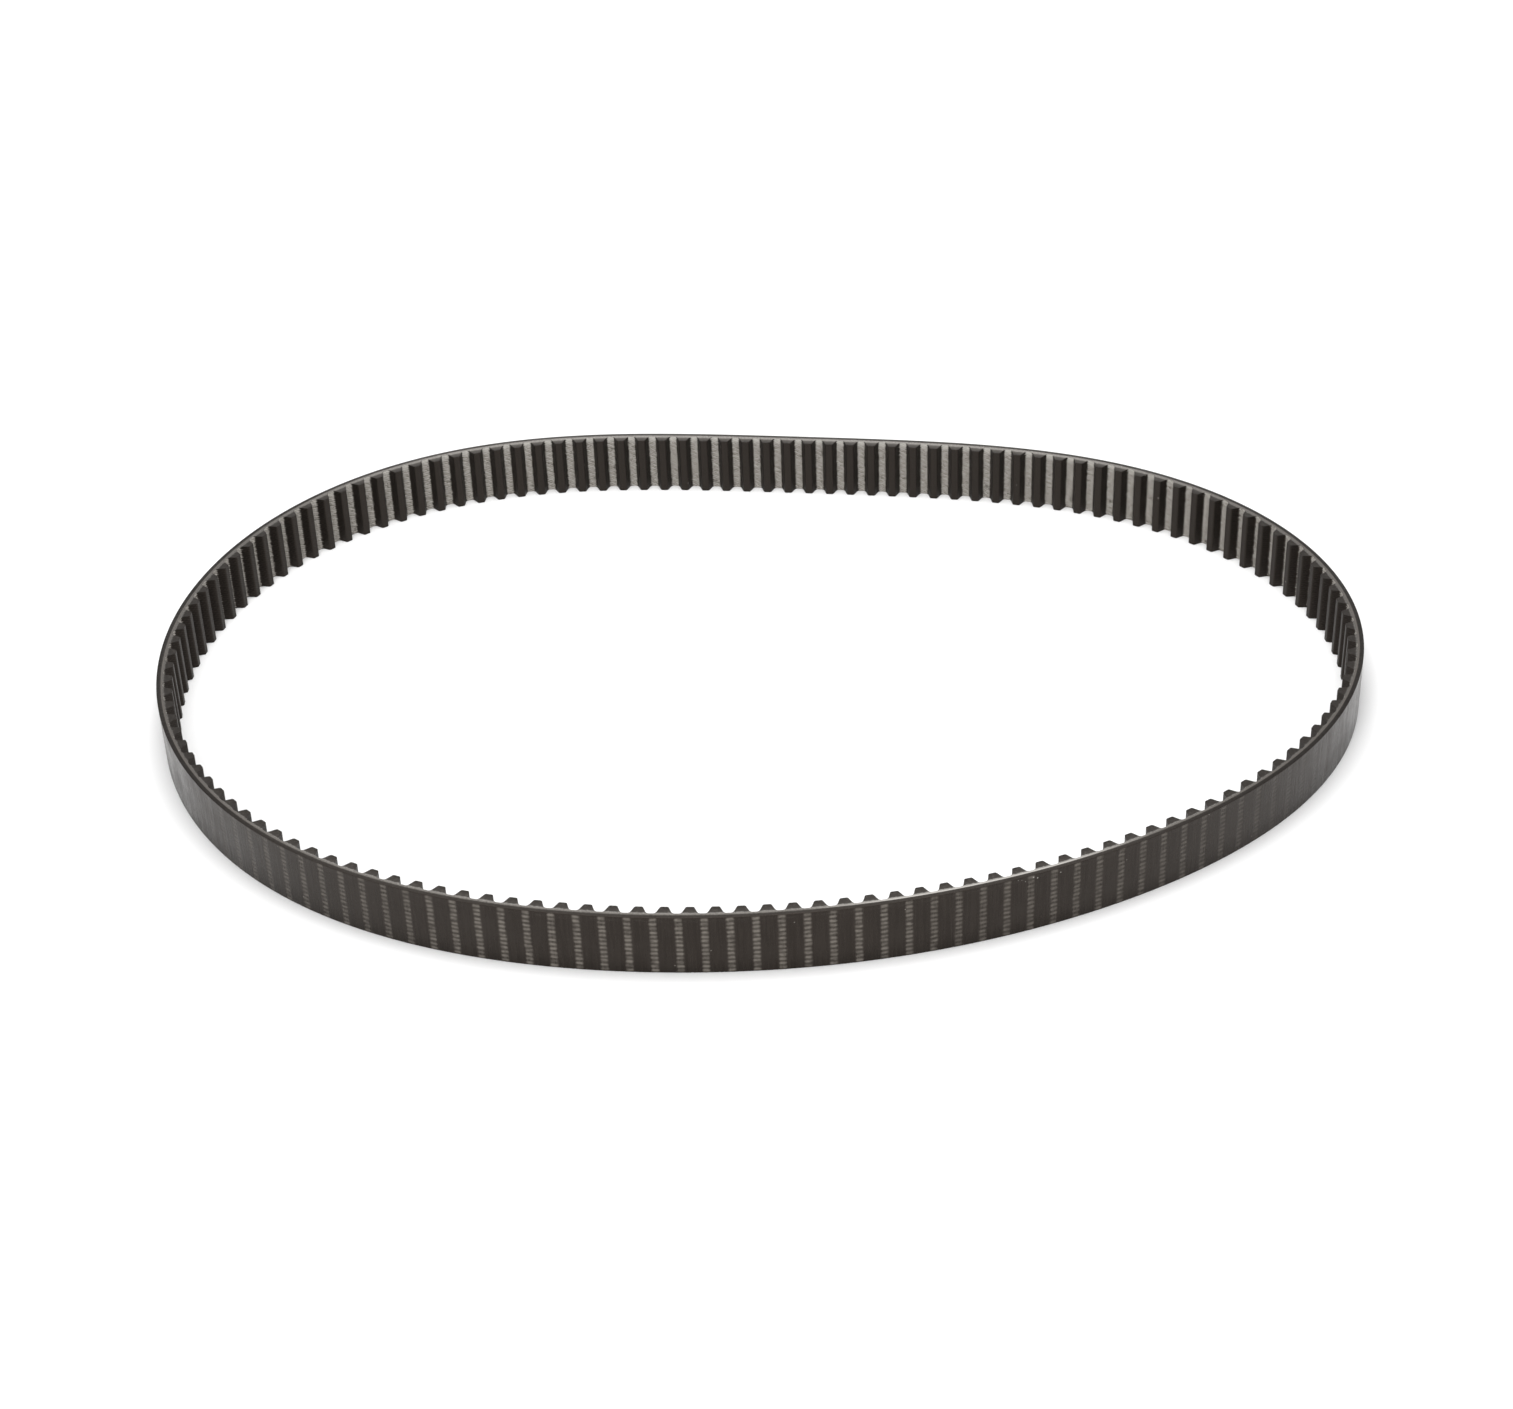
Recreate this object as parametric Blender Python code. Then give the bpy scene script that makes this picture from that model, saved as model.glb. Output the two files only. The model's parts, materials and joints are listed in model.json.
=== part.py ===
"""Endless toothed drive belt, standing on one cut edge in a relaxed oval loop.

The belt is built in four bonded layers, from the outside in:

    backing        the smooth rubber back
    cord_ply       the tension cords, side by side, joined by their adhesive
    tooth_rubber   the moulded teeth, joined by a thin film of rubber
    facing         the woven fabric that covers the teeth and the lands

The layers are divided into equal sections, cut across the middle of a land, so
that the loop can bend.  Each section turns about an upright axis that lies on
the cord line, midway between two teeth.

Frame: metres, +Z across the belt's width, origin on the floor under the centre
of the loop, +X along the loop's long side.  Distance s runs along the cord
line, counter-clockwise seen from above, from the middle of section 1.
"""

import math

import bmesh
import bpy
from mathutils import Matrix, Vector

# ---------------------------------------------------------------- dimensions
MM = 0.001

PITCH = 8.0 * MM                 # tooth to tooth, along the cord line
TOOTH_COUNT = 140
BELT_WIDTH = 22.0 * MM
BELT_LENGTH = TOOTH_COUNT * PITCH

# Tooth form, seen along the belt's width.
TOOTH_HEIGHT = 3.15 * MM         # from the land's surface to the tip
TOOTH_BASE_HALF = 2.60 * MM
TOOTH_TIP_HALF = 1.25 * MM
TOOTH_ROOT_RADIUS = 1.20 * MM
TOOTH_TIP_RADIUS = 0.65 * MM

# Layers, as distances out from the cord line (negative is towards the teeth).
LAND_LEVEL = -0.52 * MM
BACK_LEVEL = 1.73 * MM
FACING_THICKNESS = 0.15 * MM
CORD_RADIUS = 0.23 * MM
BOND_GAP = 0.03 * MM             # glue line left open between two layers

CORD_COUNT = 13                  # strands across the width

# Division into sections that bend against each other.
SECTION_COUNT = 14
TEETH_PER_SECTION = TOOTH_COUNT // SECTION_COUNT
SECTION_LENGTH = TEETH_PER_SECTION * PITCH
SECTION_GAP = 0.5 * MM           # room between two sections, for bending
CORD_SEGMENT = 2 * PITCH         # the cord ply runs straight over two pitches
OPEN_PIVOT_AFTER = 9             # sections 9 and 10 meet here with no hinge

# Shape of the relaxed loop: the belt's heading turns once, plus gentle waves
# (waves per loop, swing in degrees, phase in degrees).
START_HEADING = -2.99
HEADING_WAVES = (
    (1, 0.69, 54.9),
    (2, 15.67, -89.0),
    (3, 4.56, 41.8),
    (4, 1.43, -129.6),
    (5, 0.98, 112.4),
    (6, 0.51, -131.8),
)
STEPS_PER_PITCH = 40

# ---------------------------------------------------------------- materials
# colour, roughness
FINISHES = {
    "backing": ((0.040, 0.034, 0.030), 0.62),
    "cord_ply": ((0.520, 0.500, 0.470), 0.70),
    "tooth_rubber": ((0.036, 0.031, 0.028), 0.70),
    "facing": ((0.240, 0.225, 0.200), 0.85),
}


# ---------------------------------------------------------------- the loop
def heading(s):
    """Direction of the cord line at distance s, in radians from +X."""
    turn = math.tau * s / BELT_LENGTH
    angle = math.radians(START_HEADING) + turn
    for waves, swing, phase in HEADING_WAVES:
        angle += math.radians(swing) * math.cos(waves * turn - math.radians(phase))
    return angle


def curvature(s):
    """Rate of turn of the cord line at distance s, per metre."""
    step = PITCH / STEPS_PER_PITCH
    return (heading(s + step) - heading(s - step)) / (2 * step)


def outward(s):
    """Unit vector that points out of the loop at distance s."""
    angle = heading(s)
    return Vector((math.sin(angle), -math.cos(angle)))


def walk_the_loop():
    """Points of the cord line at every step, closed and centred on its box."""
    count = TOOTH_COUNT * STEPS_PER_PITCH
    step = BELT_LENGTH / count
    points = [Vector((0.0, 0.0))]
    for index in range(count):
        angle = heading((index + 0.5) * step)
        points.append(points[-1] + step * Vector((math.cos(angle), math.sin(angle))))
    # The waves leave a gap far smaller than a tooth: share it out along the loop.
    leftover = points[-1].copy()
    points = [point - leftover * (index / count) for index, point in enumerate(points)]
    # Centre the box of the belt's back, which is its outermost surface.
    back = [points[index] + BACK_LEVEL * outward(index * step)
            for index in range(0, count, STEPS_PER_PITCH // 2)]
    centre = Vector((
        (min(point.x for point in back) + max(point.x for point in back)) / 2,
        (min(point.y for point in back) + max(point.y for point in back)) / 2,
    ))
    return [point - centre for point in points]


CORD_LINE = walk_the_loop()


def place(s, level):
    """The point at distance s along the loop and `level` out from the cord line."""
    count = len(CORD_LINE) - 1
    position = (s / BELT_LENGTH) % 1.0 * count
    index = min(int(position), count - 1)
    return CORD_LINE[index].lerp(CORD_LINE[index + 1], position - index) + level * outward(s)


# ---------------------------------------------------------------- contours
def section_span(section):
    """Where a section starts and ends, with half a gap taken off each end."""
    middle = (section - 1) * SECTION_LENGTH
    half = (SECTION_LENGTH - SECTION_GAP) / 2
    return middle - half, middle + half


def cord_stations(section):
    """Distances of the cord ply's corners: every second land, and both ends."""
    start, end = section_span(section)
    middle = (section - 1) * SECTION_LENGTH
    first = middle - SECTION_LENGTH / 2
    inner = [first + index * CORD_SEGMENT
             for index in range(1, round(SECTION_LENGTH / CORD_SEGMENT))]
    return [start] + inner + [end]


def cord_level(s, level):
    """A level on the ply's straight runs, which stand out by their rise at each corner."""
    rise = curvature(s) * CORD_SEGMENT ** 2 / 8
    return place(s, rise + level)


def eased(before, corner, after, radius, middle):
    """A round of this radius in place of a corner: its ends and, if asked, its middle."""
    back = (before - corner).normalized()
    ahead = (after - corner).normalized()
    half_turn = (math.pi - back.angle(ahead)) / 2
    cut = radius * math.tan(half_turn)
    ends = [corner + cut * back, corner + cut * ahead]
    if not middle:
        return ends
    inside = (back + ahead).normalized()
    depth = radius / math.cos(half_turn) - radius
    return [ends[0], corner + depth * inside, ends[1]]


def tooth_outline():
    """One tooth as (along the belt, height above the land), from root to root."""
    corners = [
        Vector((-PITCH / 2, 0.0)),
        Vector((-TOOTH_BASE_HALF, 0.0)),
        Vector((-TOOTH_TIP_HALF, TOOTH_HEIGHT)),
        Vector((TOOTH_TIP_HALF, TOOTH_HEIGHT)),
        Vector((TOOTH_BASE_HALF, 0.0)),
        Vector((PITCH / 2, 0.0)),
    ]
    radii = [TOOTH_ROOT_RADIUS, TOOTH_TIP_RADIUS, TOOTH_TIP_RADIUS, TOOTH_ROOT_RADIUS]
    outline = []
    for index, radius in enumerate(radii, start=1):
        before, corner, after = corners[index - 1:index + 2]
        outline += eased(before, corner, after, radius, middle=radius == TOOTH_ROOT_RADIUS)
    return outline


def land_and_teeth(section):
    """Visible contour of a section's toothed side, from its start to its end."""
    start, end = section_span(section)
    middle = (section - 1) * SECTION_LENGTH
    first_tooth = middle - SECTION_LENGTH / 2 + PITCH / 2
    tooth = tooth_outline()
    contour = [place(start, LAND_LEVEL)]
    for index in range(TEETH_PER_SECTION):
        s = first_tooth + index * PITCH
        root = place(s, LAND_LEVEL)
        out = outward(s)
        along = Vector((-out.y, out.x))
        contour += [root + point.x * along - point.y * out for point in tooth]
        if index < TEETH_PER_SECTION - 1:
            contour.append(place(s + PITCH / 2, LAND_LEVEL))
    contour.append(place(end, LAND_LEVEL))
    return contour


def parallel(contour, distance):
    """The contour moved to its right, which is out of the loop, with mitred corners."""
    moved = []
    last = len(contour) - 1
    for index, point in enumerate(contour):
        before = (point - contour[index - 1]).normalized() if index > 0 else None
        after = (contour[index + 1] - point).normalized() if index < last else None
        before = before or after
        after = after or before
        right_before = Vector((before.y, -before.x))
        right_after = Vector((after.y, -after.x))
        mitre = right_before + right_after
        moved.append(point + mitre * (2 * distance / mitre.length_squared))
    return moved


# ---------------------------------------------------------------- solids
def upright_prism(name, outline):
    """A mesh from the floor to the belt's full width over a counter-clockwise outline."""
    mesh = bmesh.new()
    corners = [mesh.verts.new((point.x, point.y, 0.0)) for point in outline]
    floor = mesh.faces.new(reversed(corners))
    raised = bmesh.ops.extrude_face_region(mesh, geom=[floor], use_keep_orig=True)
    top = [item for item in raised["geom"] if isinstance(item, bmesh.types.BMVert)]
    bmesh.ops.translate(mesh, verts=top, vec=(0.0, 0.0, BELT_WIDTH))
    return finish_mesh(name, mesh)


def cord_profile():
    """Across the width: a flat inner side, and a ridge for each cord on the outer side."""
    spacing = BELT_WIDTH / CORD_COUNT
    profile = [(-CORD_RADIUS, BELT_WIDTH), (-CORD_RADIUS, 0.0), (0.0, 0.0)]
    for index in range(CORD_COUNT):
        profile.append((CORD_RADIUS, (index + 0.5) * spacing))
        profile.append((0.0, (index + 1) * spacing))
    return profile


def cord_sweep(name, section):
    """The cord ply: its profile carried along the section, one ring a station."""
    mesh = bmesh.new()
    rings = []
    for s in cord_stations(section):
        ring = []
        for level, height in cord_profile():
            point = cord_level(s, level)
            ring.append(mesh.verts.new((point.x, point.y, height)))
        rings.append(ring)
    count = len(rings[0])
    for ring, following in zip(rings, rings[1:]):
        for index in range(count):
            after = (index + 1) % count
            mesh.faces.new((ring[index], ring[after], following[after], following[index]))
    mesh.faces.new(rings[0])
    mesh.faces.new(rings[-1])
    return finish_mesh(name, mesh)


def finish_mesh(name, mesh):
    """Turn a bmesh into mesh data with every face looking out."""
    bmesh.ops.recalc_face_normals(mesh, faces=mesh.faces)
    data = bpy.data.meshes.new(name)
    mesh.to_mesh(data)
    mesh.free()
    return data


def backing_mesh(name, section):
    """The smooth back, from the cords out."""
    start, end = section_span(section)
    middle = (section - 1) * SECTION_LENGTH
    inside = [middle + (index - TEETH_PER_SECTION) * PITCH / 2
              for index in range(1, 2 * TEETH_PER_SECTION)]
    outer = [place(s, BACK_LEVEL) for s in [start] + inside + [end]]
    inner = [cord_level(s, CORD_RADIUS + BOND_GAP) for s in cord_stations(section)]
    return upright_prism(name, outer + inner[::-1])


def tooth_rubber_mesh(name, section):
    """The teeth, joined behind the lands by a thin film."""
    toothed = parallel(land_and_teeth(section), FACING_THICKNESS + BOND_GAP)
    film = [cord_level(s, -CORD_RADIUS - BOND_GAP) for s in cord_stations(section)]
    return upright_prism(name, film + toothed[::-1])


def facing_mesh(name, section):
    """The woven fabric over teeth and lands."""
    face = land_and_teeth(section)
    bonded = parallel(face, FACING_THICKNESS)
    return upright_prism(name, bonded + face[::-1])


LAYERS = {
    "backing": backing_mesh,
    "cord_ply": cord_sweep,
    "tooth_rubber": tooth_rubber_mesh,
    "facing": facing_mesh,
}


# ---------------------------------------------------------------- the assembly
def clear_scene():
    for thing in list(bpy.data.objects):
        bpy.data.objects.remove(thing, do_unlink=True)


def make_material(name):
    colour, roughness = FINISHES[name]
    material = bpy.data.materials.new(name)
    material.use_nodes = True
    shader = material.node_tree.nodes["Principled BSDF"]
    shader.inputs["Base Color"].default_value = (*colour, 1.0)
    shader.inputs["Roughness"].default_value = roughness
    shader.inputs["Metallic"].default_value = 0.0
    return material


def hinge_distance(section):
    """Where a section's hinge lies: on the side from which the root section holds it."""
    middle = (section - 1) * SECTION_LENGTH
    if section == 1:
        return middle
    if section <= OPEN_PIVOT_AFTER:
        return middle - SECTION_LENGTH / 2
    return middle + SECTION_LENGTH / 2


def add_pivot(section):
    """An empty on the section's hinge axis; section 1, the root, gets one at its middle."""
    s = hinge_distance(section)
    point = place(s, 0.0)
    pivot = bpy.data.objects.new(f"pivot_{section:02d}", None)
    pivot.empty_display_size = BELT_WIDTH
    pivot.location = (point.x, point.y, 0.0)
    pivot.rotation_euler = (0.0, 0.0, heading(s))
    bpy.context.scene.collection.objects.link(pivot)
    return pivot


def add_section(section, materials):
    """One section's four layers, parented to its pivot."""
    pivot = add_pivot(section)
    to_pivot = (Matrix.Translation(pivot.location)
                @ pivot.rotation_euler.to_matrix().to_4x4()).inverted()
    for layer, make_mesh in LAYERS.items():
        name = f"{layer}_{section:02d}"
        data = make_mesh(name, section)
        data.transform(to_pivot)
        data.materials.append(materials[layer])
        body = bpy.data.objects.new(name, data)
        body.parent = pivot
        bpy.context.scene.collection.objects.link(body)


def build():
    clear_scene()
    materials = {layer: make_material(layer) for layer in LAYERS}
    for section in range(1, SECTION_COUNT + 1):
        add_section(section, materials)
    bpy.context.view_layer.update()


build()
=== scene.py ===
"""Looks of the toothed belt: continuous layers laid over the sections of the frame."""

import json
import math

import bpy
import numpy as np
from mathutils import Matrix, Vector

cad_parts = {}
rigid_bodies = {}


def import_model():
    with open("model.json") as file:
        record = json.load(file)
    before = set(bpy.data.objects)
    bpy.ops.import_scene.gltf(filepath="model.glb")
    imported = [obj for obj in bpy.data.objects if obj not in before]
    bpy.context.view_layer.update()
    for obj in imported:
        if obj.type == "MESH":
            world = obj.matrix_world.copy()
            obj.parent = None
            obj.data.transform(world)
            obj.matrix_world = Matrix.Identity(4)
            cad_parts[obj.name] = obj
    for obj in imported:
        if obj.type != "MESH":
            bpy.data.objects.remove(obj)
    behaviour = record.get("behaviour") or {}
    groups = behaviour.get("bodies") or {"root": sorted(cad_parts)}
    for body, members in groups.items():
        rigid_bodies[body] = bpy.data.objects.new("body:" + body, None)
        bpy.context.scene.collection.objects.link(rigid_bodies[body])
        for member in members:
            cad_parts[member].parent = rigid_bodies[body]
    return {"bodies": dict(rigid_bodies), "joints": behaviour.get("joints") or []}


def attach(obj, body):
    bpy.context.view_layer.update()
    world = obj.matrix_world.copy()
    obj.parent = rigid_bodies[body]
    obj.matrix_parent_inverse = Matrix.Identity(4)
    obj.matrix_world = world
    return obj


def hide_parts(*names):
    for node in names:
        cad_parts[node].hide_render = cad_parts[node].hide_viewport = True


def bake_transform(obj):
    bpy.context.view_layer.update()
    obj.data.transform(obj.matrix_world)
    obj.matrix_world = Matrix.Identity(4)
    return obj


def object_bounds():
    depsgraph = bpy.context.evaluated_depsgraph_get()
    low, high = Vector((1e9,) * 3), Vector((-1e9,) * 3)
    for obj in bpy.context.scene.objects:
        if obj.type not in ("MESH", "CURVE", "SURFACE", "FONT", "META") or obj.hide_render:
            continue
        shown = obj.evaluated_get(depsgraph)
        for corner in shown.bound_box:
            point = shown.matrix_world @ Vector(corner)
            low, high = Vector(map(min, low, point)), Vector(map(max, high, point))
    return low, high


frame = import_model()
cad_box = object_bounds()

# ---------------------------------------------------------------- dimensions
MM = 0.001

PITCH = 8.0 * MM
TOOTH_COUNT = 140
BELT_LENGTH = TOOTH_COUNT * PITCH
BELT_WIDTH = cad_box[1].z - cad_box[0].z
SECTION_COUNT = len(frame["bodies"])
SECTION_LENGTH = BELT_LENGTH / SECTION_COUNT

# Shape of the relaxed loop, the same formula as the CAD part's.
START_HEADING = -2.99
HEADING_WAVES = (
    (1, 0.69, 54.9),
    (2, 15.67, -89.0),
    (3, 4.56, 41.8),
    (4, 1.43, -129.6),
    (5, 0.98, 112.4),
    (6, 0.51, -131.8),
)
STEPS_PER_PITCH = 40

# Levels out from the cord line (negative is towards the teeth).
BACK_LEVEL = 1.73 * MM
BACKING_INNER_LEVEL = 0.260 * MM
CORD_RADIUS = 0.255 * MM
FILM_LEVEL = -0.260 * MM
LAND_LEVEL = -0.52 * MM
FACING_THICKNESS = 0.15 * MM
LAYER_GAP = 0.005 * MM           # keeps the rubber of the teeth clear of the facing

# Tooth form.
TOOTH_HEIGHT = 3.15 * MM
TOOTH_BASE_HALF = 2.60 * MM
TOOTH_TIP_HALF = 1.25 * MM
ROOT_RADIUS = 1.20 * MM
TIP_RADIUS = 0.65 * MM

# Cords, and the marks they leave.
CORD_COUNT = 13
CORD_SPACING = BELT_WIDTH / CORD_COUNT
RUNG_HALF_WIDTH = 1.45 * MM      # the band of rungs that makes one mark on the back
RUNG_RELIEF = 0.045 * MM
MARK_COUNT = 142                 # marks round the loop: their pitch is a little short
MARK_SPACING = BELT_LENGTH / MARK_COUNT
FIRST_MARK = 0.33 * MM           # so that a mark and a land coincide at 24 mm
LAND_RELIEF = 0.035 * MM

EDGE_ROUND = 0.10 * MM           # softened edge of the back at the cut
END_SLIT = 0.02 * MM             # hair gap where the two ends of the linkage meet
BRIGHT_EDGE_MIDDLE = 80.0 * MM   # where along the loop the cut edge is painted brighter
CRUMBS_MIDDLE = 100.0 * MM       # where light crumbs cling near the upper edge
BRIGHTEST_HIGHLIGHT_MIDDLE = -20.0 * MM   # where the painted highlight on the marks of the back is strongest
YARN_SPACING = 0.62 * MM         # crossing yarns of the facing


# ---------------------------------------------------------------- the loop
def heading(s):
    """Direction of the cord line at distance s (a number or an array), in radians from +X."""
    turn = math.tau * np.asarray(s, float) / BELT_LENGTH
    angle = math.radians(START_HEADING) + turn
    for waves, swing, phase in HEADING_WAVES:
        angle = angle + math.radians(swing) * np.cos(waves * turn - math.radians(phase))
    return angle


def walk_the_loop():
    """Distances and points of the cord line round the whole loop, centred as the frame is."""
    count = TOOTH_COUNT * STEPS_PER_PITCH
    step = BELT_LENGTH / count
    angle = heading((np.arange(count) + 0.5) * step)
    points = np.zeros((count + 1, 2))
    points[1:, 0] = np.cumsum(np.cos(angle) * step)
    points[1:, 1] = np.cumsum(np.sin(angle) * step)
    share = np.linspace(0.0, 1.0, count + 1)
    points -= points[-1] * share[:, None]
    distance = share * BELT_LENGTH
    back = points + BACK_LEVEL * outward(distance)
    box_centre = (back.min(axis=0) + back.max(axis=0)) / 2
    low, high = cad_box
    frame_centre = np.array([(low.x + high.x) / 2, (low.y + high.y) / 2])
    return distance, points - box_centre + frame_centre


def outward(s):
    """Unit vectors out of the loop at distances s."""
    angle = heading(s)
    return np.stack([np.sin(angle), -np.cos(angle)], axis=-1)


LOOP_S, LOOP_POINTS = walk_the_loop()


def place(s, level):
    """Points at distances s along the loop and `level` out from the cord line."""
    s = np.asarray(s, float)
    wrapped = s % BELT_LENGTH
    x = np.interp(wrapped, LOOP_S, LOOP_POINTS[:, 0])
    y = np.interp(wrapped, LOOP_S, LOOP_POINTS[:, 1])
    return np.stack([x, y], axis=-1) + np.asarray(level)[..., None] * outward(s)


# ---------------------------------------------------------------- profiles
def smoothstep(edge0, edge1, x):
    t = np.clip((x - edge0) / (edge1 - edge0), 0.0, 1.0)
    return t * t * (3.0 - 2.0 * t)


def round_corner(before, corner, after, radius, steps):
    """Points of an arc of this radius that replaces a corner between two straight sides."""
    back = (before - corner).normalized()
    ahead = (after - corner).normalized()
    half_open = back.angle(ahead) / 2
    cut = radius / math.tan(half_open)
    start = corner + cut * back
    end = corner + cut * ahead
    centre = corner + (back + ahead).normalized() * (radius / math.sin(half_open))
    first = start - centre
    last = end - centre
    turn = first.angle_signed(last)
    points = []
    for index in range(steps + 1):
        spin = Matrix.Rotation(-turn * index / steps, 2)
        points.append(centre + spin @ first)
    return points


def tooth_profile():
    """One pitch from land middle to land middle: (along, height over the land, is tip)."""
    corners = [
        Vector((-PITCH / 2, 0.0)),
        Vector((-TOOTH_BASE_HALF, 0.0)),
        Vector((-TOOTH_TIP_HALF, TOOTH_HEIGHT)),
        Vector((0.0, TOOTH_HEIGHT)),
    ]
    root = round_corner(corners[0], corners[1], corners[2], ROOT_RADIUS, 4)
    tip = round_corner(corners[1], corners[2], corners[3], TIP_RADIUS, 4)
    land = [Vector((-PITCH / 2 * (1 - t) + root[0].x * t, 0.0)) for t in (0.0, 0.3, 0.6, 0.85)]
    flank = [root[-1].lerp(tip[0], t) for t in (0.33, 0.67)]
    crown = [Vector((tip[-1].x * (1 - t), TOOTH_HEIGHT)) for t in (0.35, 0.7)]
    half = land + root + flank + tip + crown
    other = [Vector((-point.x, point.y)) for point in reversed(half)]
    return half + [Vector((0.0, TOOTH_HEIGHT))] + other[:-1]


PROFILE = tooth_profile()


def toothed_contour(start, end):
    """Contour of the toothed side between two land middles: distances and heights."""
    first = round(start / PITCH)
    count = round((end - start) / PITCH)
    along = []
    height = []
    for index in range(count):
        tooth = first + index
        middle = (tooth + 0.5) * PITCH
        grow = 1.0 + 0.010 * math.sin(7.3 * tooth) + 0.006 * math.sin(2.9 * tooth)
        for point in PROFILE:
            along.append(middle + point.x)
            height.append(point.y * grow)
    along.append(end)
    height.append(0.0)
    return np.array(along), np.array(height)


# ---------------------------------------------------------------- mesh building
def shell(name, rings, coordinates):
    """A closed tube through rings of points, capped at both ends.

    rings: array (stations, points, 3); coordinates: same shape, the belt's own
    (distance, level, height), stored on the mesh for its material.
    """
    stations, points, _ = rings.shape
    verts = rings.reshape(-1, 3)
    index = np.arange(stations * points).reshape(stations, points)
    a = index[:-1, :]
    b = np.roll(index, -1, axis=1)[:-1, :]
    c = np.roll(index, -1, axis=1)[1:, :]
    d = index[1:, :]
    quads = np.stack([a, b, c, d], axis=-1).reshape(-1, 4)
    faces = quads.tolist()
    faces.append(index[0][::-1].tolist())
    faces.append(index[-1].tolist())
    mesh = bpy.data.meshes.new(name)
    mesh.from_pydata(verts.tolist(), [], faces)
    attribute = mesh.attributes.new("belt", "FLOAT_VECTOR", "POINT")
    attribute.data.foreach_set("vector", coordinates.reshape(-1, 3).astype(np.float32).ravel())
    mesh.validate()
    mesh.shade_smooth()
    mesh.set_sharp_from_angle(angle=math.radians(40))
    piece = bpy.data.objects.new(name, mesh)
    bpy.context.scene.collection.objects.link(piece)
    return piece


def ring_grid(along, levels, heights):
    """Ring points for every station. along: (stations, points), levels and heights alike."""
    flat = place(along, levels)
    rings = np.concatenate([flat, heights[..., None]], axis=-1)
    coordinates = np.stack([along, levels, heights], axis=-1)
    return rings, coordinates


def from_land_middle(s):
    """Distance to the nearest land middle, signed."""
    return (s + PITCH / 2) % PITCH - PITCH / 2


def rung_wave(height):
    """1 on a cord, 0 between two cords."""
    return 0.5 - 0.5 * np.cos(math.tau * height / CORD_SPACING)


def across_heights(samples_per_cord):
    return np.linspace(0.0, BELT_WIDTH, CORD_COUNT * samples_per_cord + 1)


def backing_piece(name, start, end):
    """The smooth back, with its bands of rungs and its softened cut edges."""
    offsets = np.array([-4.0, -2.9, -2.0, -1.45, -1.1, -0.7, -0.3, 0.0,
                        0.3, 0.7, 1.1, 1.45, 2.0, 2.9]) * MM
    first = math.floor((start - FIRST_MARK) / MARK_SPACING)
    last = math.ceil((end - FIRST_MARK) / MARK_SPACING)
    marks = FIRST_MARK + np.arange(first, last + 1) * MARK_SPACING
    stations = (marks[:, None] + offsets).ravel()
    stations = stations[(stations > start + 1e-6) & (stations < end - 1e-6)]
    stations = np.concatenate([[start], stations, [end]])
    face = across_heights(4)
    face = face[(face > EDGE_ROUND * 1.5) & (face < BELT_WIDTH - EDGE_ROUND * 1.5)]
    turn = np.radians([0.0, 30.0, 60.0, 90.0])
    lower_h = EDGE_ROUND * (1 - np.sin(turn))
    lower_l = BACK_LEVEL - EDGE_ROUND * (1 - np.cos(turn))
    heights = np.concatenate([[0.0], lower_h[::-1], face, BELT_WIDTH - lower_h, [BELT_WIDTH]])
    levels = np.concatenate([[BACKING_INNER_LEVEL], lower_l[::-1],
                             np.full(len(face), BACK_LEVEL), lower_l, [BACKING_INNER_LEVEL]])
    on_face = np.concatenate([np.zeros(5), np.ones(len(face)), np.zeros(5)])
    along = np.repeat(stations[:, None], len(heights), axis=1)
    height_grid = np.repeat(heights[None, :], len(stations), axis=0)
    level_grid = np.repeat(levels[None, :], len(stations), axis=0)
    from_mark = (along - FIRST_MARK + MARK_SPACING / 2) % MARK_SPACING - MARK_SPACING / 2
    band = 1.0 - smoothstep(0.45 * RUNG_HALF_WIDTH, RUNG_HALF_WIDTH, np.abs(from_mark))
    relief = -RUNG_RELIEF * band * (1.0 - rung_wave(height_grid)) * on_face[None, :]
    return shell(name, *ring_grid(along, level_grid + relief, height_grid))


def cord_piece(name, start, end):
    """The cord ply: one ridge a strand on both sides, its edge strand cut through."""
    stations = np.linspace(start, end, round((end - start) / (PITCH / 2)) + 1)
    count = CORD_COUNT * 6
    up = np.linspace(0.0, BELT_WIDTH, count + 1)
    bulge = CORD_RADIUS * (0.55 + 0.45 * rung_wave(up))
    bulge[[0, -1]] = CORD_RADIUS
    heights = np.concatenate([up, up[::-1]])
    levels = np.concatenate([bulge, -bulge[::-1]])
    along = np.repeat(stations[:, None], len(heights), axis=1)
    height_grid = np.repeat(heights[None, :], len(stations), axis=0)
    level_grid = np.repeat(levels[None, :], len(stations), axis=0)
    return shell(name, *ring_grid(along, level_grid, height_grid))


def offset_contour(along, height, distance):
    """The contour moved into the rubber by a distance, along its own normals."""
    slope_s = np.gradient(along)
    slope_h = np.gradient(height)
    length = np.hypot(slope_s, slope_h)
    moved_s = along + distance * slope_h / length
    moved_h = height - distance * slope_s / length
    moved_s[0] = along[0]
    moved_s[-1] = along[-1]
    return moved_s, moved_h


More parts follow.
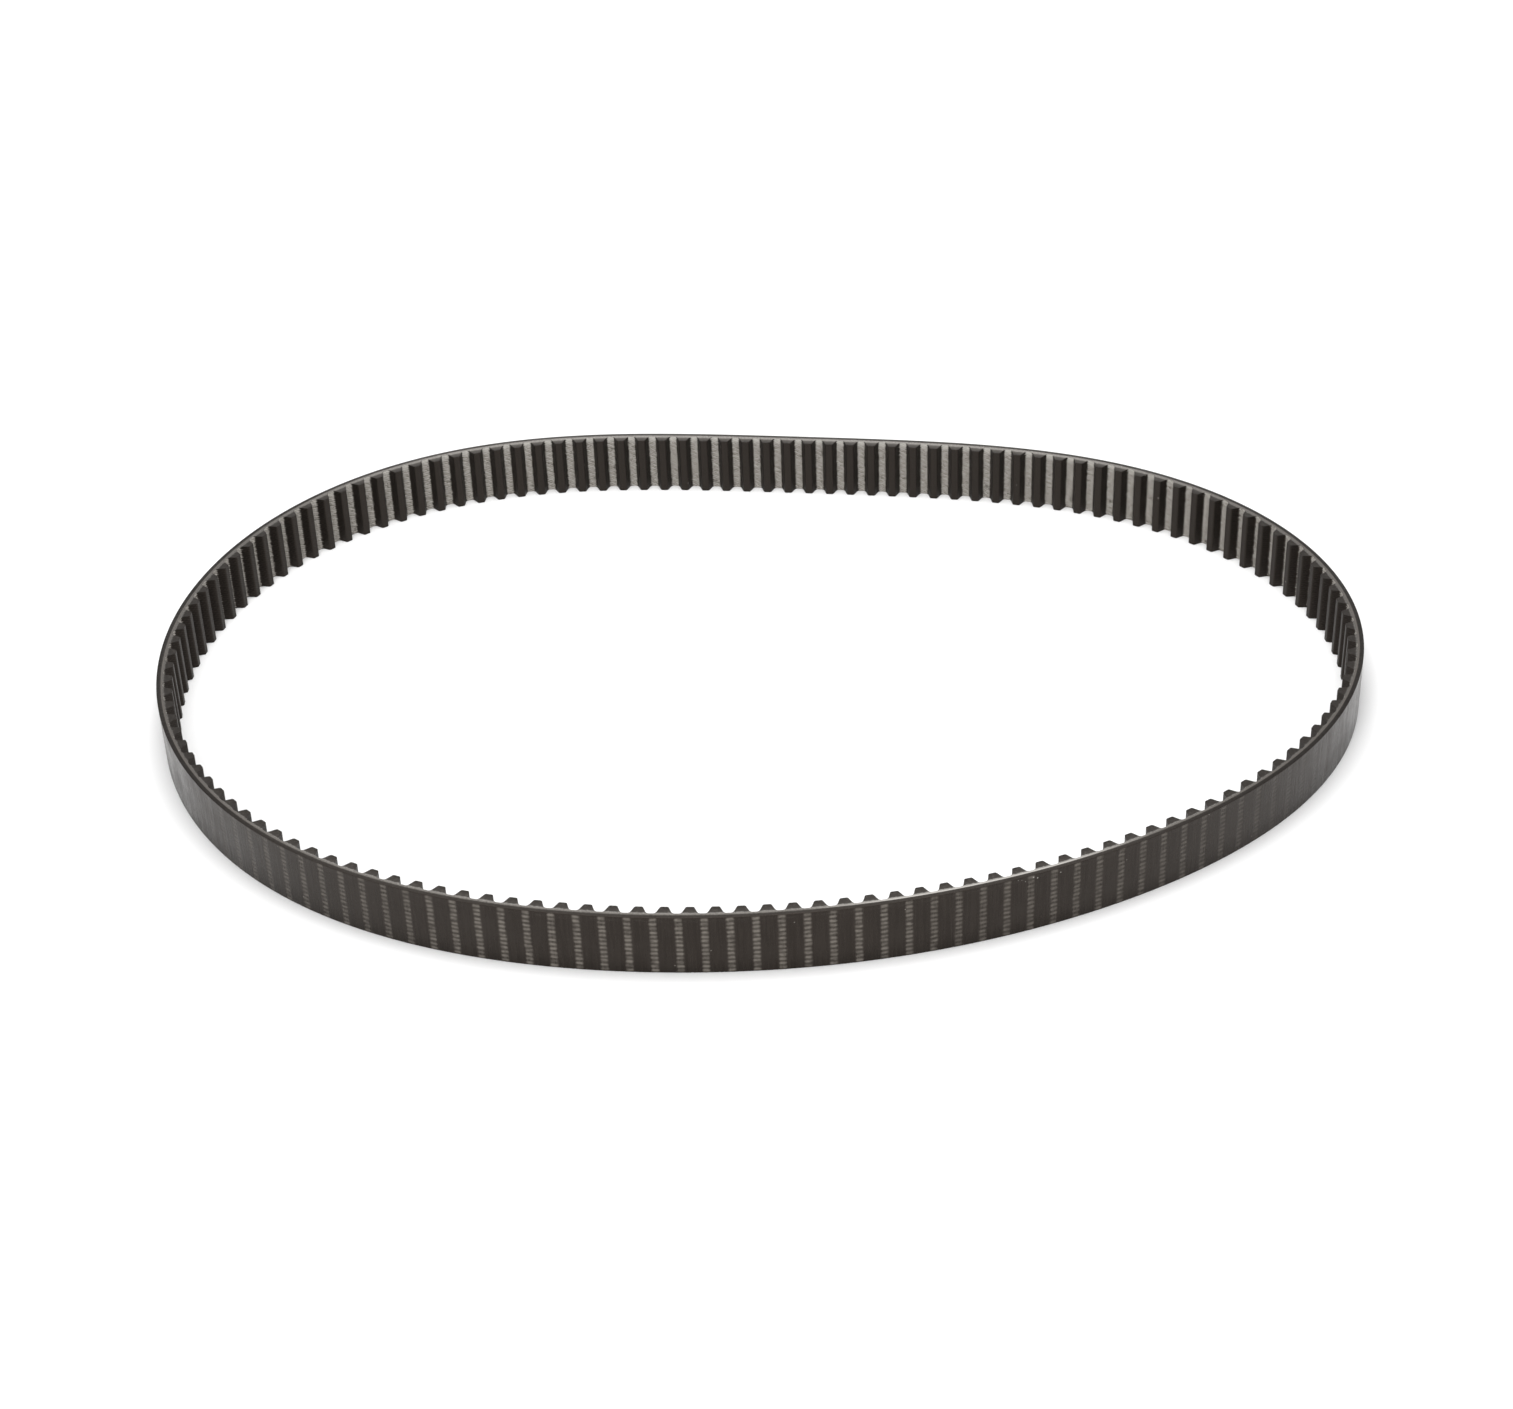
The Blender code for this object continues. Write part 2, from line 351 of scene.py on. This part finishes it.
def tooth_rubber_piece(name, start, end):
    """The rubber teeth on their film: their ends show at the cut edges."""
    along, height = toothed_contour(start, end)
    inner_s, inner_h = offset_contour(along, height, FACING_THICKNESS + LAYER_GAP)
    tooth_level = LAND_LEVEL - inner_h
    film = np.full(len(along), FILM_LEVEL)
    rows = 3
    columns_s = []
    columns_l = []
    for row in range(rows + 1):
        t = row / rows
        columns_s.append(along * (1 - t) + inner_s * t)
        columns_l.append(film * (1 - t) + tooth_level * t)
    up_s = np.stack(columns_s[::-1] + columns_s, axis=1)
    up_l = np.stack(columns_l[::-1] + columns_l, axis=1)
    heights = np.concatenate([np.zeros(rows + 1), np.full(rows + 1, BELT_WIDTH)])
    height_grid = np.repeat(heights[None, :], len(along), axis=0)
    return shell(name, *ring_grid(up_s, up_l, height_grid))


def facing_piece(name, start, end):
    """The woven fabric that follows lands and teeth."""
    along, height = toothed_contour(start, end)
    back_s, back_h = offset_contour(along, height, FACING_THICKNESS)
    up = across_heights(4)[::-1]
    on_land = 1.0 - smoothstep(1.0 * MM, 1.7 * MM, np.abs(from_land_middle(along)))
    dip = LAND_RELIEF * on_land[:, None] * (1.0 - rung_wave(up))[None, :]
    face_s = np.repeat(along[:, None], len(up), axis=1)
    face_l = LAND_LEVEL - height[:, None] + dip
    face_h = np.repeat(up[None, :], len(along), axis=0)
    hidden_s = np.repeat(back_s[:, None], 2, axis=1)
    hidden_l = np.repeat((LAND_LEVEL - back_h)[:, None], 2, axis=1)
    hidden_h = np.repeat(np.array([[0.0, BELT_WIDTH]]), len(along), axis=0)
    all_s = np.concatenate([face_s, hidden_s], axis=1)
    all_l = np.concatenate([face_l, hidden_l], axis=1)
    all_h = np.concatenate([face_h, hidden_h], axis=1)
    return shell(name, *ring_grid(all_s, all_l, all_h))


# ---------------------------------------------------------------- materials
# Colours are linear. Lengths in the node trees are in millimetres.
WARM_GLOSS = (1.0, 0.83, 0.71)

BACK_DARK = (0.0060, 0.0046, 0.0037)
BACK_LIGHT = (0.0150, 0.0122, 0.0102)
BACK_CLOUD = (0.0175, 0.0148, 0.0128)
# pale marks on the back: partly print, partly a painted highlight on the cord ridges
MARK_PRINT_AND_HIGHLIGHT = (0.158, 0.143, 0.125)
SPECK_COLOUR = (0.22, 0.205, 0.185)
CRUMB_COLOUR = (0.42, 0.405, 0.375)

CUT_DARK = (0.0060, 0.0052, 0.0046)
CUT_LIGHT = (0.0250, 0.0223, 0.0198)
SMEAR_COLOUR = (0.20, 0.188, 0.172)
BRIGHT_EDGE_COLOUR = (0.56, 0.54, 0.51)

CORD_SHADOW = (0.050, 0.046, 0.042)
# lit and shaded copies of one cord colour: painted light on the back run, painted shade on the
# front run
CORD_LIT_BACK_RUN = (0.42, 0.40, 0.372)
CORD_SHADED_FRONT_RUN = (0.25, 0.236, 0.218)
CORD_DULL = (0.070, 0.064, 0.058)
# painted shade: the cord at the two tight ends of the loop
CORD_SHADED_END_DARK = (0.03, 0.026, 0.023)
CORD_SHADED_END_LIGHT = (0.11, 0.10, 0.09)

TOOTH_DARK = (0.0050, 0.0042, 0.0036)
TOOTH_LIGHT = (0.020, 0.0177, 0.0157)
TOOTH_DUST = (0.058, 0.052, 0.046)
# pale root of the tooth ends, partly painted light
TOOTH_ROOT_PALE_AND_LIT = (0.100, 0.092, 0.084)
FIBRE_DARK = (0.13, 0.122, 0.111)
FIBRE_LIGHT = (0.47, 0.45, 0.422)

CLOTH_DARK = (0.185, 0.172, 0.153)
CLOTH_LIGHT = (0.475, 0.448, 0.409)
# painted shade in the grooves of the lands
CLOTH_GROOVE_SHADE = (0.110, 0.100, 0.087)
CLOTH_WORN = (0.58, 0.553, 0.513)
CLOTH_SOILED = (0.07, 0.062, 0.055)
# painted light along the upper edge of the lands
CLOTH_TOP_LIGHT = (0.66, 0.64, 0.60)
PRESSED_DARK = (0.0040, 0.0032, 0.0026)
PRESSED_LIGHT = (0.0160, 0.0135, 0.0114)
PRESSED_CROWN = (0.018, 0.0155, 0.0134)
TOOTH_SPECK = (0.24, 0.22, 0.20)

FLOOR_COLOUR = (0.90, 0.90, 0.90, 1.0)


class Nodes:
    """A short way to write a material's nodes."""

    def __init__(self, name):
        self.material = bpy.data.materials.new(name)
        self.material.use_nodes = True
        self.tree = self.material.node_tree
        self.shader = self.tree.nodes["Principled BSDF"]

    def link(self, source, target):
        if isinstance(source, bpy.types.NodeSocket):
            self.tree.links.new(source, target)
        else:
            target.default_value = source

    def math(self, operation, a, b=0.0, c=0.0):
        node = self.tree.nodes.new("ShaderNodeMath")
        node.operation = operation
        for value, socket in zip((a, b, c), node.inputs):
            self.link(value, socket)
        return node.outputs[0]

    def add(self, a, b):
        return self.math("ADD", a, b)

    def subtract(self, a, b):
        return self.math("SUBTRACT", a, b)

    def times(self, a, b):
        return self.math("MULTIPLY", a, b)

    def step(self, low, high, value, out_low=0.0, out_high=1.0):
        """Smooth change from out_low to out_high as value goes from low to high."""
        node = self.tree.nodes.new("ShaderNodeMapRange")
        node.interpolation_type = "SMOOTHSTEP"
        for source, socket in zip((value, low, high, out_low, out_high), node.inputs):
            self.link(source, socket)
        return node.outputs[0]

    def mix(self, share, a, b):
        """Colour a at share 0, colour b at share 1."""
        node = self.tree.nodes.new("ShaderNodeMix")
        node.data_type = "RGBA"
        self.link(share, node.inputs["Factor"])
        for value, socket in ((a, node.inputs[6]), (b, node.inputs[7])):
            self.link((*value, 1.0) if isinstance(value, tuple) else value, socket)
        return node.outputs[2]

    def belt(self):
        """Distance along the belt, level and height, each in millimetres."""
        attribute = self.tree.nodes.new("ShaderNodeAttribute")
        attribute.attribute_name = "belt"
        split = self.tree.nodes.new("ShaderNodeSeparateXYZ")
        self.tree.links.new(attribute.outputs["Vector"], split.inputs[0])
        return [self.times(split.outputs[axis], 1.0 / MM) for axis in range(3)]

    def join(self, x, y, z):
        node = self.tree.nodes.new("ShaderNodeCombineXYZ")
        for value, socket in zip((x, y, z), node.inputs):
            self.link(value, socket)
        return node.outputs[0]

    def noise(self, vector, scale, detail=2.0, roughness=0.5):
        node = self.tree.nodes.new("ShaderNodeTexNoise")
        self.link(vector, node.inputs["Vector"])
        node.inputs["Scale"].default_value = scale
        node.inputs["Detail"].default_value = detail
        node.inputs["Roughness"].default_value = roughness
        return node.outputs["Fac"]

    def wave(self, value, period, phase=0.0):
        """A sine from 0 to 1 with this period."""
        angle = self.add(self.times(value, math.tau / period), phase)
        return self.add(self.times(self.math("SINE", angle), 0.5), 0.5)

    def specks(self, vector, scale, radius, rarity):
        """Scattered round specks: 1 inside a speck, 0 elsewhere; rarity from 0 to 1."""
        node = self.tree.nodes.new("ShaderNodeTexVoronoi")
        self.link(vector, node.inputs["Vector"])
        node.inputs["Scale"].default_value = scale
        split = self.tree.nodes.new("ShaderNodeSeparateColor")
        self.tree.links.new(node.outputs["Color"], split.inputs[0])
        inside = self.step(radius, radius * 0.4, node.outputs["Distance"])
        return self.times(inside, self.math("GREATER_THAN", split.outputs[0], rarity))

    def land_distance(self, s):
        """Distance to the nearest land middle, in millimetres."""
        pitch = PITCH / MM
        return self.math("PINGPONG", s, pitch / 2)

    def mark_distance(self, s):
        """Distance to the middle of the nearest mark on the back, in millimetres."""
        return self.math("PINGPONG", self.subtract(s, FIRST_MARK / MM), MARK_SPACING / MM / 2)

    def bump(self, height, distance_mm, strength=1.0):
        node = self.tree.nodes.new("ShaderNodeBump")
        node.inputs["Strength"].default_value = strength
        node.inputs["Distance"].default_value = distance_mm * MM
        self.link(height, node.inputs["Height"])
        self.tree.links.new(node.outputs[0], self.shader.inputs["Normal"])

    def finish(self, colour, roughness, specular, tint=WARM_GLOSS):
        self.link(colour, self.shader.inputs["Base Color"])
        self.shader.inputs["Specular Tint"].default_value = (*tint, 1.0)
        self.link(roughness, self.shader.inputs["Roughness"])
        self.link(specular, self.shader.inputs["Specular IOR Level"])
        return self.material


def cut_edge_share(n, height):
    """1 on the two cut edges of the belt, 0 on the faces between them."""
    width = BELT_WIDTH / MM
    from_edge = n.math("PINGPONG", height, width / 2)
    return n.step(0.0, 0.14, from_edge, 1.0, 0.0)


def front_share(n, s):
    """1 at the middle of the front run of the loop, 0 at the middle of the back run."""
    return n.wave(s, BELT_LENGTH / MM, math.pi / 2)


def long_run_share(n, s):
    """1 along the front and back runs of the loop, 0 at its two tight ends."""
    return n.step(0.08, 0.75, n.wave(s, BELT_LENGTH / MM / 2, math.pi / 2))


def mark_print_and_highlight_share(n, s, height):
    """How strongly the back is marked: a pale band about every pitch, broken by the cords; partly
    print, partly a painted highlight on the cord ridges.
    """
    wobble = n.subtract(n.noise(n.join(s, 0.0, height), 0.35, 2.0), 0.5)
    away = n.add(n.mark_distance(s), n.times(wobble, 0.7))
    band = n.step(0.55, 1.55, away, 1.0, 0.0)
    cord = n.wave(n.add(height, n.times(wobble, 0.6)), CORD_SPACING / MM, -math.pi / 2)
    rung = n.step(0.15, 0.90, cord, 0.34, 1.0)
    worn = n.noise(n.join(n.times(s, 0.30), 0.0, n.times(height, 0.55)), 1.0, 4.0, 0.65)
    patch = n.step(0.30, 0.68, worn, 0.35, 1.20)
    # painted highlight: the marks show on the front and back runs and die away at the two tight
    # ends
    along_run = n.math("ABSOLUTE", n.subtract(n.times(front_share(n, s), 2.0), 1.0))
    painted_highlight_share = n.step(0.32, 0.86, along_run, 0.06, 1.0)
    # painted highlight: the marks are brightest at the front of the loop, where the front light
    # catches the cord ridges
    strongest = front_share(n, n.subtract(s, BRIGHTEST_HIGHLIGHT_MIDDLE / MM))
    painted_highlight_share = n.times(painted_highlight_share, n.step(0.935, 0.985, strongest, 0.64, 1.0))
    return n.times(n.times(band, rung), n.times(patch, painted_highlight_share))


def scuffed(n, colour, s, height):
    """The back with scuffs just under its upper edge, a few specks and a patch of crumbs."""
    scuff_line = n.math("ABSOLUTE", n.subtract(height, BELT_WIDTH / MM - 1.3))
    scuff = n.noise(n.join(n.times(s, 0.35), 0.0, n.times(height, 3.0)), 1.0, 3.0, 0.6)
    scuff = n.times(n.step(0.0, 0.9, scuff_line, 0.05, 0.0), n.step(0.45, 0.65, scuff))
    specks = n.specks(n.join(s, 0.0, height), 0.35, 0.10, 0.93)
    colour = n.mix(n.math("MAXIMUM", scuff, n.times(specks, 0.8)), colour, SPECK_COLOUR)
    crumbs = n.specks(n.join(s, 0.0, height), 0.75, 0.24, 0.55)
    from_patch = n.math("ABSOLUTE", n.subtract(s, CRUMBS_MIDDLE / MM))
    crumbs = n.times(crumbs, n.step(4.0, 16.0, from_patch, 1.0, 0.0))
    crumbs = n.times(crumbs, n.step(18.5, 21.0, height))
    return n.mix(n.times(crumbs, 0.9), colour, CRUMB_COLOUR)


def cut_backing_colour(n, s, level):
    """Colour of the backing on the cut edges: dark, smeared pale next to the cords."""
    run = long_run_share(n, s)
    grain = n.noise(n.join(n.times(s, 2.5), n.times(level, 4.0), 0.0), 1.0, 4.0, 0.7)
    # painted shade: at the two tight ends the cut is painted plain dark, without its grain
    colour = n.mix(run, CUT_DARK, n.mix(grain, CUT_DARK, CUT_LIGHT))
    smear = n.noise(n.join(n.times(s, 1.2), n.times(level, 2.5), 0.0), 1.0, 4.0, 0.7)
    smear = n.times(n.step(0.75, 0.26, level), n.step(0.35, 0.70, smear, 0.0, 0.50))
    # painted shade: the pale smear is painted fainter at the two tight ends
    smear = n.times(smear, n.add(n.times(run, 0.65), 0.35))
    return n.mix(smear, colour, SMEAR_COLOUR)


def backing_material():
    n = Nodes("backing_rubber")
    s, level, height = n.belt()
    # streaks across the width, from the mould and from handling
    streak = n.noise(n.join(n.times(s, 1.1), level, n.times(height, 0.06)), 1.0, 5.0, 0.7)
    cloud = n.noise(n.join(n.times(s, 0.07), level, n.times(height, 0.10)), 1.0, 3.0, 0.6)
    fine = n.noise(n.join(n.times(s, 6.0), level, n.times(height, 6.0)), 1.0, 3.0, 0.6)
    rubber = n.mix(n.step(0.32, 0.70, streak), BACK_DARK, BACK_LIGHT)
    rubber = n.mix(n.step(0.45, 0.75, cloud, 0.0, 0.5), rubber, BACK_CLOUD)
    # the pale marks are partly print and partly a painted highlight on the cord ridges
    marks = mark_print_and_highlight_share(n, s, height)
    back = scuffed(n, n.mix(marks, rubber, MARK_PRINT_AND_HIGHLIGHT), s, height)
    cut = cut_edge_share(n, height)
    colour = n.mix(cut, back, cut_backing_colour(n, s, level))
    n.bump(n.add(n.times(streak, 1.4), n.times(fine, 0.25)), 0.06, 0.8)
    roughness = n.step(0.30, 0.70, n.add(n.times(streak, 0.6), n.times(cloud, 0.4)), 0.15, 0.42)
    roughness = n.add(roughness, n.times(marks, 0.15))
    roughness = n.add(roughness, n.times(cut, 0.30))
    cut_specular = n.times(cut, n.add(n.times(long_run_share(n, s), 0.16), 0.20))
    specular = n.add(n.times(n.subtract(1.0, cut), 0.285), cut_specular)
    return n.finish(colour, roughness, specular)


def bright_edge_share(n, s):
    """1 over the stretch of cut edge that is painted brighter."""
    away = n.math("ABSOLUTE", n.subtract(s, BRIGHT_EDGE_MIDDLE / MM))
    return n.step(25.0, 60.0, away, 1.0, 0.0)


def cord_material():
    n = Nodes("tension_cord")
    s, level, height = n.belt()
    strand = n.join(n.times(s, 1.5), n.times(level, 7.0), n.times(height, 3.0))
    strand = n.noise(strand, 1.0, 4.0, 0.65)
    along = n.noise(n.join(n.times(s, 0.08), 0.0, 0.0), 1.0, 2.0)
    # painted light and shade: the cord is painted lighter on the back run than on the front run
    fibre = n.mix(n.step(0.3, 0.7, front_share(n, s)), CORD_LIT_BACK_RUN, CORD_SHADED_FRONT_RUN)
    colour = n.mix(n.step(0.32, 0.68, strand), CORD_SHADOW, fibre)
    colour = n.mix(n.step(0.35, 0.7, along, 0.0, 0.40), colour, CORD_DULL)
    colour = n.mix(n.times(bright_edge_share(n, s), 0.70), colour, BRIGHT_EDGE_COLOUR)
    # painted shade: at the two tight ends the cord is painted much darker
    shaded_ends = n.mix(strand, CORD_SHADED_END_DARK, CORD_SHADED_END_LIGHT)
    colour = n.mix(long_run_share(n, s), shaded_ends, colour)
    n.bump(strand, 0.05, 0.8)
    return n.finish(colour, 0.45, 0.4)


def cut_tooth_colour(n, s, level, height):
    """Colour of the teeth on the cut edges: pale at the root, darker towards the tip; the pale
    root is partly painted light, strongest on the back run and left out at the two tight ends.
    """
    grain = n.noise(n.join(n.times(s, 3.0), n.times(level, 3.0), height), 1.0, 4.0, 0.7)
    coarse = n.noise(n.join(n.times(s, 0.9), n.times(level, 0.9), height), 1.0, 3.0, 0.6)
    run = long_run_share(n, s)
    front = front_share(n, s)
    colour = n.mix(grain, TOOTH_DARK, TOOTH_LIGHT)
    # real dust, painted fainter at the two tight ends as painted shade
    dust_and_shade = n.step(0.45, 0.72, coarse, 0.0, 0.65)
    dust_and_shade = n.times(dust_and_shade, n.add(n.times(run, 0.55), 0.45))
    colour = n.mix(dust_and_shade, colour, TOOTH_DUST)
    # partly painted light: the root is painted paler on the back run than on the front run, and
    # not at the tight ends
    pale_root_and_light = n.times(n.step(-4.2, -0.9, level), n.step(0.3, 0.7, front, 0.80, 0.25))
    colour = n.mix(n.times(pale_root_and_light, run), colour, TOOTH_ROOT_PALE_AND_LIT)
    # film and root of the teeth: pale with cord fibre dragged over them by the cutter; the fibre
    # is painted fainter at the two tight ends and a little on the front run, as painted shade
    ragged = n.add(level, n.times(n.subtract(coarse, 0.5), 0.9))
    ragged = n.subtract(ragged, n.step(0.3, 0.7, front, -0.40, 0.04))
    base = n.times(n.step(-1.08, -0.55, ragged), n.add(n.times(run, 0.38), 0.28))
    base = n.times(base, n.step(0.3, 0.7, front, 1.0, 0.88))
    fibre = n.mix(n.step(0.35, 0.65, grain), FIBRE_DARK, FIBRE_LIGHT)
    fibre = n.mix(n.times(bright_edge_share(n, s), 0.6), fibre, BRIGHT_EDGE_COLOUR)
    return n.mix(base, colour, fibre), grain


def tooth_rubber_material():
    n = Nodes("tooth_rubber")
    colour, grain = cut_tooth_colour(n, *n.belt())
    n.bump(grain, 0.05, 0.8)
    return n.finish(colour, 0.60, 0.20)


def weave_patterns(n, s, height):
    """Twill: the weave, its slanting coordinate and the bend that keeps it from being exact."""
    bend = n.times(n.subtract(n.noise(n.join(s, 0.0, height), 0.8, 2.0), 0.5), 1.3)
    diagonal = n.add(n.subtract(height, n.times(s, 0.55)), bend)
    crossing = n.add(n.add(s, n.times(height, 0.4)), n.times(bend, 0.5))
    rib = n.wave(diagonal, CORD_SPACING / MM / 2)
    yarn = n.wave(crossing, YARN_SPACING / MM)
    return n.times(rib, n.add(n.times(yarn, 0.5), 0.5)), diagonal, bend


def land_share(n, s, height, bend):
    """1 on the light cloth of the lands; its frayed edge steps in and out with the cords."""
    steps = n.add(n.subtract(height, n.times(s, 0.25)), n.times(bend, 0.3))
    steps = n.wave(steps, CORD_SPACING / MM / 2)
    fray = n.times(n.subtract(n.noise(n.join(s, 0.0, height), 1.1, 3.0), 0.5), 1.15)
    away = n.add(n.add(n.land_distance(s), n.times(steps, 0.26)), fray)
    return n.step(1.12, 1.66, away, 1.0, 0.0)


def land_colour(n, s, height, weave, diagonal, tone):
    """Light cloth of the lands, with painted shade in the grooves between the cords, painted
    light towards the upper edge, worn and soiled patches.
    """
    width = BELT_WIDTH / MM
    # painted shade in the grooves between the cords
    groove_shade = n.wave(diagonal, CORD_SPACING / MM, -math.pi / 2)
    blotch = n.noise(n.join(s, 3.0, height), 0.55, 2.0)
    # painted light: the lands are painted lighter towards the upper edge, on the long runs only
    upper = n.times(n.step(width - 3.2, width - 0.4, height, 0.0, 0.55), long_run_share(n, s))
    colour = n.mix(n.step(0.05, 0.80, weave), CLOTH_DARK, CLOTH_LIGHT)
    colour = n.mix(n.step(0.05, 0.75, groove_shade, 0.35, 0.0), colour, CLOTH_GROOVE_SHADE)
    colour = n.mix(n.step(0.35, 0.7, tone, 0.0, 0.40), colour, CLOTH_WORN)
    colour = n.mix(n.step(0.62, 0.72, blotch, 0.0, 0.6), colour, CLOTH_SOILED)
    return n.mix(upper, colour, CLOTH_TOP_LIGHT)


def facing_material():
    n = Nodes("woven_facing")
    s, level, height = n.belt()
    weave, diagonal, bend = weave_patterns(n, s, height)
    tone = n.noise(n.join(n.times(s, 0.5), 0.0, n.times(height, 0.9)), 1.0, 3.0, 0.6)
    land = land_share(n, s, height, bend)
    light = land_colour(n, s, height, weave, diagonal, tone)
    # cloth of the teeth, dark with rubber pressed through it
    dark = n.mix(weave, PRESSED_DARK, PRESSED_LIGHT)
    dark = n.mix(n.times(n.step(-3.40, -3.62, level), 0.5), dark, PRESSED_CROWN)
    dark = n.mix(n.specks(n.join(s, level, height), 0.30, 0.10, 0.93), dark, TOOTH_SPECK)
    colour = n.mix(land, dark, light)
    n.bump(n.add(weave, n.times(tone, 0.4)), 0.09, 0.8)
    cut = cut_edge_share(n, height)
    cut_tone, _ = cut_tooth_colour(n, s, level, height)
    colour = n.mix(n.times(cut, 0.85), colour, cut_tone)
    dull = n.math("MAXIMUM", land, n.times(cut, 0.4))
    specular = n.step(0.0, 1.0, n.math("MAXIMUM", land, cut), 0.26, 0.21)
    return n.finish(colour, n.step(0.0, 1.0, dull, 0.50, 0.85), specular)


MAKERS = {
    "backing": (backing_piece, backing_material()),
    "cord_ply": (cord_piece, cord_material()),
    "tooth_rubber": (tooth_rubber_piece, tooth_rubber_material()),
    "facing": (facing_piece, facing_material()),
}


# ---------------------------------------------------------------- the belt
def middle_of(section):
    return (section - 1) * SECTION_LENGTH


def add_layer_piece(layer, name, start, end, sections):
    make_piece, material = MAKERS[layer]
    piece = make_piece(name, start, end)
    piece.data.materials.append(material)
    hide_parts(*[f"{layer}_{section:02d}" for section in sections])
    return piece


def build_belt():
    """Over each joint one length of every layer, from section middle to section middle."""
    joined = {frozenset((joint["parent"], joint["child"])) for joint in frame["joints"]}
    for section in range(1, SECTION_COUNT + 1):
        following = section % SECTION_COUNT + 1
        here = f"section_{section:02d}"
        there = f"section_{following:02d}"
        start = middle_of(section)
        end = start + SECTION_LENGTH
        half = start + SECTION_LENGTH / 2
        for layer in MAKERS:
            if frozenset((here, there)) in joined:
                name = f"{layer}_{section:02d}_to_{following:02d}"
                piece = add_layer_piece(layer, name, start, end, (section, following))
                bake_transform(piece)
            else:
                stop = half - END_SLIT / 2
                name = f"{layer}_{section:02d}_end"
                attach(add_layer_piece(layer, name, start, stop, (section,)), here)
                restart = half + END_SLIT / 2
                name = f"{layer}_{following:02d}_end"
                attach(add_layer_piece(layer, name, restart, end, (following,)), there)


# ---------------------------------------------------------------- stage
FLOOR_SIZE = 12.0
FLOOR_DROP = 0.0001
CAMERA_AIM = Vector((-0.00153, -0.00460, 0.0))
CAMERA_DISTANCE = 1.0613
CAMERA_ELEVATION = 35.84
CAMERA_ROLL = -2.28
CAMERA_LENS = 72.72
WORLD_STRENGTH = 0.36


def add_floor():
    half = FLOOR_SIZE / 2
    corners = [(-half, -half, 0), (half, -half, 0), (half, half, 0), (-half, half, 0)]
    mesh = bpy.data.meshes.new("floor")
    mesh.from_pydata(corners, [], [(0, 1, 2, 3)])
    floor = bpy.data.objects.new("floor", mesh)
    floor.location.z = -FLOOR_DROP
    bpy.context.scene.collection.objects.link(floor)
    n = Nodes("floor_paper")
    mesh.materials.append(n.finish(FLOOR_COLOUR, 0.9, 0.1))


def add_light(name, location, size, size_y, power, target=(0.0, 0.0, 0.0)):
    data = bpy.data.lights.new(name, "AREA")
    data.shape = "RECTANGLE"
    data.size = size
    data.size_y = size_y
    data.energy = power
    light = bpy.data.objects.new(name, data)
    light.location = location
    direction = Vector(target) - Vector(location)
    light.rotation_euler = direction.to_track_quat("-Z", "Y").to_euler()
    bpy.context.scene.collection.objects.link(light)


def add_world():
    world = bpy.data.worlds.new("studio")
    bpy.context.scene.world = world
    world.use_nodes = True
    background = world.node_tree.nodes["Background"]
    background.inputs["Color"].default_value = (1.0, 1.0, 1.0, 1.0)
    background.inputs["Strength"].default_value = WORLD_STRENGTH


def add_camera():
    elevation = math.radians(CAMERA_ELEVATION)
    ahead = Vector((0.0, math.cos(elevation), -math.sin(elevation)))
    up = Vector((0.0, math.sin(elevation), math.cos(elevation)))
    right = Vector((1.0, 0.0, 0.0))
    roll = Matrix.Rotation(math.radians(CAMERA_ROLL), 3, "Z")
    turn = Matrix((right, up, -ahead)).transposed() @ roll
    data = bpy.data.cameras.new("camera")
    data.lens = CAMERA_LENS
    data.sensor_width = 36.0
    data.clip_start = 0.01
    camera = bpy.data.objects.new("camera", data)
    camera.matrix_world = Matrix.Translation(CAMERA_AIM - CAMERA_DISTANCE * ahead) @ turn.to_4x4()
    bpy.context.scene.collection.objects.link(camera)
    bpy.context.scene.camera = camera


build_belt()
add_floor()
add_world()
add_light("overhead_softbox", (0.0, 0.0, 1.30), 0.80, 0.50, 12.5)
add_light("front_softbox", (-0.2, -1.55, 1.40), 1.2, 0.8, 22.0)
add_light("back_panel", (0.0, 1.45, 0.45), 3.0, 0.8, 16.0, target=(0.0, 0.0, 0.45))
add_camera()
bpy.context.scene.view_settings.view_transform = "Standard"

bpy.context.view_layer.update()
